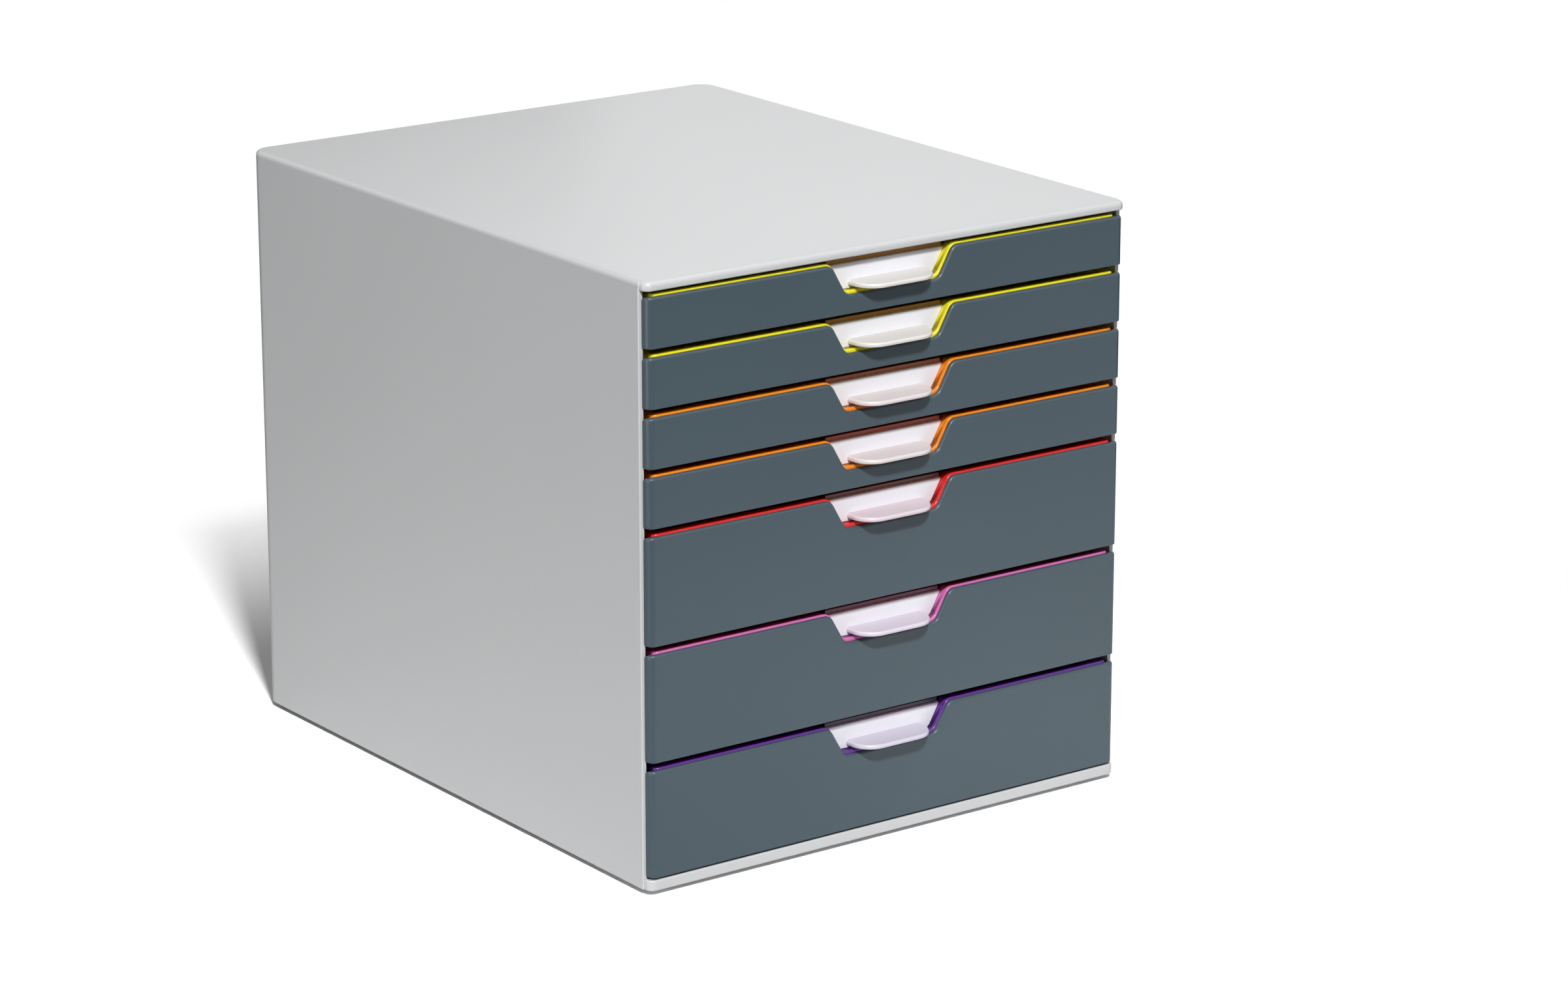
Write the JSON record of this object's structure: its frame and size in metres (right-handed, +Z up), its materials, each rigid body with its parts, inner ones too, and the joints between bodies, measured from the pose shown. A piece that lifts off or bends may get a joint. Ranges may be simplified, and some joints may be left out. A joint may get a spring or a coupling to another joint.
{
  "type": "desktop drawer box",
  "caption": "Desktop storage box with shallow and deep sliding drawers, notched fronts, label holders with finger lips, and a rounded plastic casing open at the front.",
  "frame": {"origin": "on the table below the middle of the box's overall width and depth", "axes": "+Z up, -Y towards the user and the drawer fronts, +X to the right seen from the front"},
  "size_m": [0.28, 0.356, 0.292],
  "materials": {
    "casing_plastic": "pale grey moulded polystyrene with a soft gloss",
    "foot_rubber": "dull dark rubber",
    "slate_plastic": "slate grey moulded polystyrene, satin",
    "frosted_plastic": "frosted pale lilac-white plastic",
    "label_card": "smooth white card",
    "yellow_plastic": "glossy yellow moulded plastic",
    "orange_plastic": "glossy orange moulded plastic",
    "red_plastic": "glossy red moulded plastic",
    "pink_plastic": "glossy pink moulded plastic",
    "violet_plastic": "glossy violet moulded plastic"
  },
  "bodies": {
    "casing": {"top_cover": "casing_plastic", "base_plate": "casing_plastic", "left_side_panel": "casing_plastic", "right_side_panel": "casing_plastic", "back_panel": "casing_plastic", "rubber_feet": "foot_rubber"},
    "drawer_1": {"drawer_1_tray": "yellow_plastic", "drawer_1_front": "slate_plastic", "drawer_1_grip": "frosted_plastic", "drawer_1_label": "label_card"},
    "drawer_2": {"drawer_2_tray": "yellow_plastic", "drawer_2_front": "slate_plastic", "drawer_2_grip": "frosted_plastic", "drawer_2_label": "label_card"},
    "drawer_3": {"drawer_3_tray": "orange_plastic", "drawer_3_front": "slate_plastic", "drawer_3_grip": "frosted_plastic", "drawer_3_label": "label_card"},
    "drawer_4": {"drawer_4_tray": "orange_plastic", "drawer_4_front": "slate_plastic", "drawer_4_grip": "frosted_plastic", "drawer_4_label": "label_card"},
    "drawer_5": {"drawer_5_tray": "red_plastic", "drawer_5_front": "slate_plastic", "drawer_5_grip": "frosted_plastic", "drawer_5_label": "label_card"},
    "drawer_6": {"drawer_6_tray": "pink_plastic", "drawer_6_front": "slate_plastic", "drawer_6_grip": "frosted_plastic", "drawer_6_label": "label_card"},
    "drawer_7": {"drawer_7_tray": "violet_plastic", "drawer_7_front": "slate_plastic", "drawer_7_grip": "frosted_plastic", "drawer_7_label": "label_card"}
  },
  "joints": [
    {"name": "drawer_1_slide", "type": "slide", "parent": "casing", "child": "drawer_1", "axis": [0, -1, 0], "range_m": [0, 0.27]},
    {"name": "drawer_2_slide", "type": "slide", "parent": "casing", "child": "drawer_2", "axis": [0, -1, 0], "range_m": [0, 0.27]},
    {"name": "drawer_3_slide", "type": "slide", "parent": "casing", "child": "drawer_3", "axis": [0, -1, 0], "range_m": [0, 0.27]},
    {"name": "drawer_4_slide", "type": "slide", "parent": "casing", "child": "drawer_4", "axis": [0, -1, 0], "range_m": [0, 0.27]},
    {"name": "drawer_5_slide", "type": "slide", "parent": "casing", "child": "drawer_5", "axis": [0, -1, 0], "range_m": [0, 0.27]},
    {"name": "drawer_6_slide", "type": "slide", "parent": "casing", "child": "drawer_6", "axis": [0, -1, 0], "range_m": [0, 0.27]},
    {"name": "drawer_7_slide", "type": "slide", "parent": "casing", "child": "drawer_7", "axis": [0, -1, 0], "range_m": [0, 0.27]}
  ]
}
